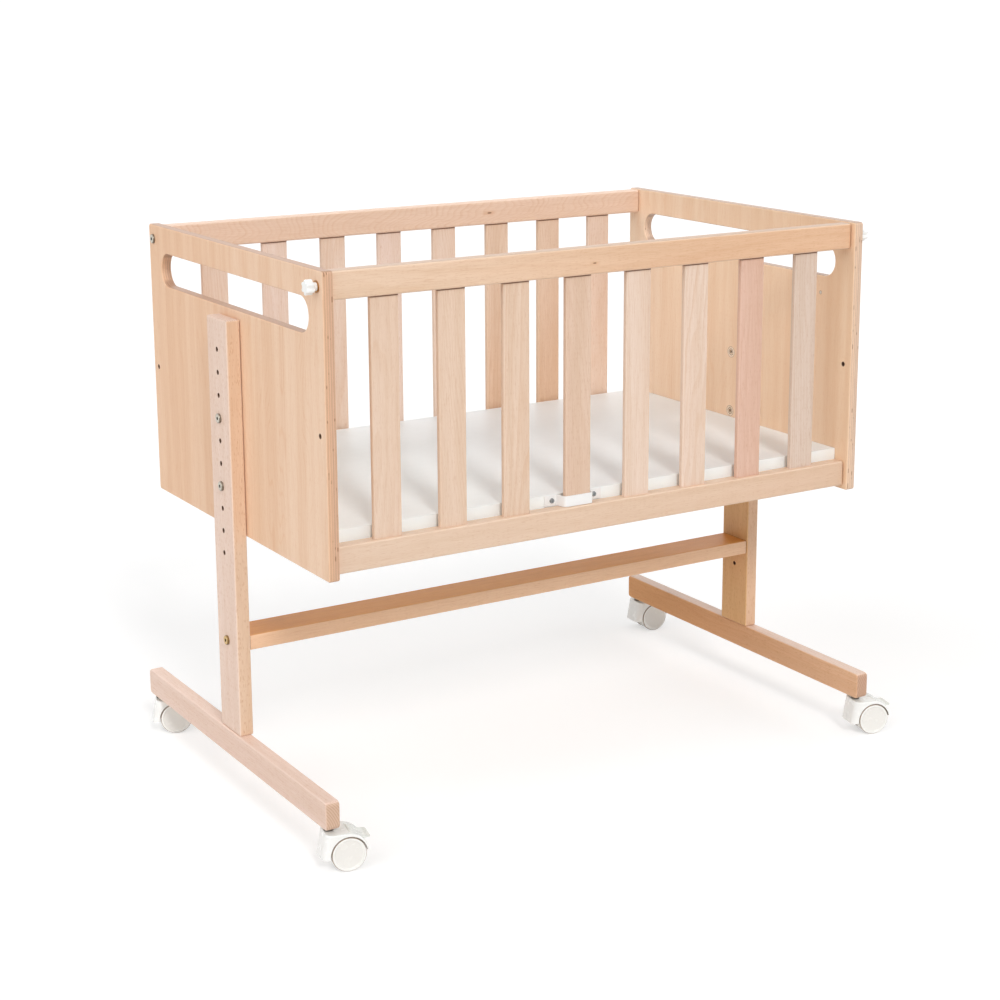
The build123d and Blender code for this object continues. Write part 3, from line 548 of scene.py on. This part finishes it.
# At the foot of slats 6 and 7 the honey tone is painted shade.
rear_low_tones = (PALE, PALEST, PALE, PALEST, PALE, HONEY_SHADE, HONEY_SHADE, PALE)
rear_high_tones = (PALE, PALEST, PALE, PALEST, PALE, WARM, WARM, PALE)
piths = [(9, 70), (40, 55), (-30, 80), (12, 60), (60, 30), (-14, 90), (25, 60), (-45, 70)]
tilts = [
    (0.0, 0.0), (0.11, 0.0), (-0.05, 0.0), (0.16, 0.02),
    (0.0, 0.03), (-0.13, 0.0), (0.07, 0.0), (0.0, -0.04),
]
slat_rows = (
    ("front", front_tones, front_tones, 3.0),
    ("rear", rear_low_tones, rear_high_tones, 31.0),
)
for row, low_tones, high_tones, seed in slat_rows:
    # Painted shade just under the top rail, where the rail shades the slat.
    rail_shade = ("Z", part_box(f"{row}_top_rail")[0].z, SHADE_UNDER_RAIL)
    for index, tone in enumerate(low_tones):
        cut = index if row == "front" else len(low_tones) - 1 - index
        beech(f"{row}_slat_{index + 1}", "Z", tone, seed=seed + index, pith=piths[cut],
              tilt=tilts[cut], ring=2.6 + 0.3 * (index % 3), warp=11.0,
              figure=0.45 + 0.15 * (index % 3), rays=0.35 + 0.1 * (index % 4),
              far_tint=high_tones[index], joint_shades=(rail_shade,))


# The painted shade at both ends of a piece, where it meets its neighbours.
def ends_of(node):
    low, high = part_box(node)
    return ("X", low.x, SHADE_AT_ENDS), ("X", high.x, SHADE_AT_ENDS)


def knot_in(node, from_middle, height, size):
    """The one pin knot in the front face of a rail."""
    spot = (middle_x + from_middle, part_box(node)[0].y, height)
    return [(spot, size)]


# The rails. Three of them get painted shade at their ends, where they meet the panels, and the
# front top rail's top and bottom faces take a darker tone, painted shade.
# Painted shade: the top and bottom faces take a darker tone.
beech("front_top_rail", "X", (236, 208, 183), seed=50.0, pith=(70, 12), ring=3.4, figure=0.3,
      far_tint=(231, 190, 156), side="Z", side_lighting_tint=(209, 180, 157),
      joint_shades=ends_of("front_top_rail"), knots=knot_in("front_top_rail", -0.0272, 0.7404, 0.001))
beech("front_bottom_rail", "X", (231, 206, 184), seed=52.0, pith=(85, -20), ring=3.6, figure=0.3,
      far_tint=(227, 197, 172), joint_shades=ends_of("front_bottom_rail"))
beech("rear_top_rail", "X", (238, 209, 188), seed=54.0, pith=(150, 30), tilt=(-0.26, 0.0),
      ring=2.6, warp=26.0, figure=0.7, rays=0.3, joint_shades=ends_of("rear_top_rail"),
      knots=knot_in("rear_top_rail", 0.1255, 0.7434, 0.0014))
beech("rear_bottom_rail", "X", (234, 200, 174), seed=56.0, pith=(-85, 20))

# The stand. The blind hole is in the right post's inner face, under the stretcher. The holes get
# painted shade on their walls.
hole_count, hole_pitch, first_hole_drop = 10, 0.031, 0.042
blind_hole_drop = 0.0225
post_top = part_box("left_post")[1].z
post_holes = [(0, post_top - first_hole_drop - hole_pitch * place) for place in range(hole_count)]
blind_hole = (0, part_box("stretcher")[0].z - blind_hole_drop)
# Painted light and shade: the front and back faces take a warmer, darker tone than the pale, lit
# outer faces.
beech("left_post", "Z", (237, 212, 197), seed=60.0, pith=(75, 12), ring=3.2, figure=0.25, rays=1.2,
      side="Y", side_lighting_tint=(231, 200, 173), holes=post_holes, end_tint=(236, 212, 198))
# Painted shade: the orange tone shades the inner and outer faces; the front and back faces take a
# paler, lit tone.
beech("right_post", "Z", (230, 184, 130), seed=62.0, pith=(-75, 12), ring=3.2, figure=0.3, rays=1.1,
      side="Y", side_lighting_tint=(231, 194, 163), holes=[*post_holes, blind_hole],
      hole_radius=POST_HOLE_RADIUS)
beech("left_foot", "Y", (235, 208, 193), seed=64.0, pith=(75, 40), ring=3.1, figure=0.2, rays=0.8,
      end_tint=(222, 192, 170))
# Painted shade: the orange tone shades the sides and grows darker towards the back; the top takes a
# paler, lit tone.
beech("right_foot", "Y", (230, 186, 150), seed=66.0, pith=(-75, 40), ring=3.1, warp=11.0, rays=0.9,
      far_tint=(224, 166, 112), side="Z", side_lighting_tint=(232, 207, 191), end_tint=(206, 170, 147))
# Painted shade: the top and bottom take a dark orange tone, and the ends darken where they meet the
# posts.
beech("stretcher", "X", (246, 206, 172), seed=68.0, pith=(40, 90), ring=3.8, figure=0.35,
      side="Z", side_lighting_tint=(224, 154, 76), joint_shades=ends_of("stretcher"))
beech("board_cleats", "Y", (232, 200, 172), seed=70.0)
beech("rail_dowels", "X", (230, 198, 165), seed=72.0)

# The board, the strap and the knobs.
# The board's upright faces are whiter than its top: painted light.
dress("mattress_board", moulded("white_board", (237, 240, 241), 0.42, grain_size=2.2, mottle=0.012,
                                side_light_colour=(250, 255, 255), left_change=(1.1, 1.13, 1.13)))
dress("guide_strap", moulded("white_strap", (246, 246, 246), 0.4, mottle=0.015, relief=0.00003))
knob_plastic = moulded("knob_plastic", (249, 251, 251), 0.3)
# The washers' dark brass tone is partly painted shade, standing in for the shade between knob and
# panel.
washer_shade_brass = metal("dull_brass_shade", (176, 130, 80), 0.4)
for side in ("left", "right"):
    dress(f"{side}_knob", knob_plastic)
    dress(f"{side}_knob_washer", washer_shade_brass)

# The metal pieces. Rings are painted shade in the sockets and grooves of the nuts and bolts.
nut_reach = 0.0085
nuts_low, nuts_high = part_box("panel_nuts")
nut_places = [(0, nuts_low.z + nut_reach), (0, nuts_high.z - nut_reach)]
rear_bolt = (0.259, 0.743)
stretcher_bolt = (0, (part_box("stretcher")[0].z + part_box("stretcher")[1].z) / 2)
nut_rings = ((-0.001, 0.0026, 0.9), (0.0042, 0.0052, 0.75), (0.0079, 0.0092, 0.6))
bolt_rings = ((-0.001, 0.0023, 0.95), (0.0058, 0.0072, 0.6))
nickel = metal("nickel", (196, 192, 184), 0.3)
dress("foot_bolts", nickel)
dress("rail_inserts", nickel)
dress("panel_nuts", metal("nut_steel", (250, 230, 210), 0.36, nut_places, nut_rings))
dress("cradle_bolts", metal("bolt_nickel", (206, 200, 188), 0.3, [*nut_places, rear_bolt],
                            bolt_rings))
dress("stretcher_bolts", metal("brass", (214, 180, 122), 0.32, [stretcher_bolt], bolt_rings))
dress("wood_screws", metal("screw_nickel", (150, 154, 156), 0.3))
dress("caster_stems", metal("dull_steel", (112, 104, 96), 0.4))

# The casters.
hood_edge, wheel_edge = 0.0243, 0.0222
joints = {joint["name"]: joint for joint in frame["joints"]}
for caster in ("front_left", "front_right", "rear_left", "rear_right"):
    spin = joints[f"{caster}_near_wheel_spin"]
    # The darker colours are the painted shade in the gap between hood and wheel.
    dress(f"{caster}_hood", caster_plastic(f"{caster}_hood_plastic", (249, 250, 249), spin,
                                           hood_edge, (110, 88, 62), "hood"))
    wheel = caster_plastic(f"{caster}_wheel_plastic", (249, 249, 247), spin,
                           wheel_edge, (150, 120, 92), "wheel")
    dress(f"{caster}_near_wheel", wheel)
    dress(f"{caster}_far_wheel", wheel)
    dress(f"{caster}_axle", nickel)
    pedal = f"{caster}_brake_pedal"
    if pedal in nodes:
        dress(pedal, moulded(f"{caster}_pedal_plastic", (232, 235, 230), 0.27, mottle=0.02,
                             Coat_Weight=0.2, Coat_Roughness=0.1))


def seen_directly(tree):
    """1 for rays from the camera and for rays that a mirror or glass sends on, else 0."""
    def larger(first, second):
        made = tree.nodes.new("ShaderNodeMath")
        made.operation = "MAXIMUM"
        tree.links.new(first, made.inputs[0])
        tree.links.new(second, made.inputs[1])
        return made.outputs[0]

    path = tree.nodes.new("ShaderNodeLightPath")
    mirrored = larger(path.outputs["Is Glossy Ray"], path.outputs["Is Transmission Ray"])
    return larger(path.outputs["Is Camera Ray"], mirrored)


def direction(azimuth, elevation):
    """The way from the object to a place at these angles, in degrees. Azimuth 0 is the front and
    90 the right."""
    turn, rise = math.radians(azimuth), math.radians(elevation)
    return Vector((math.sin(turn) * math.cos(rise), -math.cos(turn) * math.cos(rise),
                   math.sin(rise)))


# Floor: white with a faint shadow where it is looked at, a plain warm white bounce elsewhere.
floor_reach, floor_glow = 90, 0.49
floor_bounce = (0.87, 0.835, 0.79, 1.0)
floor_low, floor_high = (0.6, 0.6, 0.6, 1.0), (0.61, 0.61, 0.61, 1.0)
white = (1.0, 1.0, 1.0, 1.0)
ground = bpy.data.meshes.new("floor")
corners = ((-1, -1), (1, -1), (1, 1), (-1, 1))
ground.from_pydata([(x * floor_reach, y * floor_reach, 0) for x, y in corners], [], [(0, 1, 2, 3)])
floor = bpy.data.objects.new("floor", ground)
bpy.context.scene.collection.objects.link(floor)
paint = Graph("floor_paint")
paper = paint.noise(paint.vector("MULTIPLY", paint.place, (0.6, 0.6, 0.6)), 2)
seen = seen_directly(paint.tree)
shown = paint.mix(paint.step(paper, 0.3, 0.7), floor_low, floor_high)
paint.surface(paint.mix(seen, floor_bounce, shown), 0.9, Specular_IOR_Level=0.0,
              Emission_Color=white, Emission_Strength=paint.math("MULTIPLY", seen, floor_glow))
ground.materials.append(paint.material)

# Light: a room that is dim for lighting and white where it is seen, and wide soft lamps.
room_light, room_seen = 0.08, 1.0
world = bpy.data.worlds.new("room")
world.use_nodes = True
bpy.context.scene.world = world
sky = world.node_tree.nodes["Background"]
sky.inputs["Color"].default_value = white
level = world.node_tree.nodes.new("ShaderNodeMapRange")
level.inputs["To Min"].default_value = room_light
level.inputs["To Max"].default_value = room_seen
world.node_tree.links.new(seen_directly(world.node_tree), level.inputs["Value"])
world.node_tree.links.new(level.outputs["Result"], sky.inputs["Strength"])

# Each lamp's name, azimuth, elevation, strength and width, the angles in degrees.
lamps = (
    ("key", -12, 37, 1.3, 14),
    ("left_wall", -84, 36, 1.45, 60),
    ("front_right", 35, 25, 0.4, 40),
    ("right_wall", 85, 25, 0.8, 60),
    ("back_wall", 165, 40, 0.55, 70),
    ("ceiling", 0, 88, 0.3, 40),
)
lamp_distance = 4
for name, azimuth, elevation, strength, width in lamps:
    lamp = bpy.data.lights.new(name, "SUN")
    lamp.energy = strength
    lamp.angle = math.radians(width)
    thing = bpy.data.objects.new(name, lamp)
    bpy.context.scene.collection.objects.link(thing)
    back = direction(azimuth, elevation)
    thing.rotation_mode = "QUATERNION"
    thing.rotation_quaternion = back.to_track_quat("Z", "Y")
    thing.location = back * lamp_distance

# Camera: the photograph's viewing angle, from points matched in it. Angles are in degrees.
camera_azimuth, camera_elevation, camera_roll = -31.425, 12.824, -0.293
camera_place = (-1.4768 + middle_x, -2.4021, 1.1185)
camera_data = bpy.data.cameras.new("camera")
camera = bpy.data.objects.new("camera", camera_data)
bpy.context.scene.collection.objects.link(camera)
look = -direction(camera_azimuth, camera_elevation)
roll = Matrix.Rotation(math.radians(camera_roll), 3, "Z").to_quaternion()
camera.rotation_mode = "QUATERNION"
camera.rotation_quaternion = look.to_track_quat("-Z", "Y") @ roll
camera.location = Vector(camera_place)
camera_data.sensor_width = 36
camera_data.lens = 71.93
camera_data.shift_y = -0.08
camera_data.clip_start = 0.1
camera_data.clip_end = 400
bpy.context.scene.camera = camera
bpy.context.scene.view_settings.view_transform = "Standard"
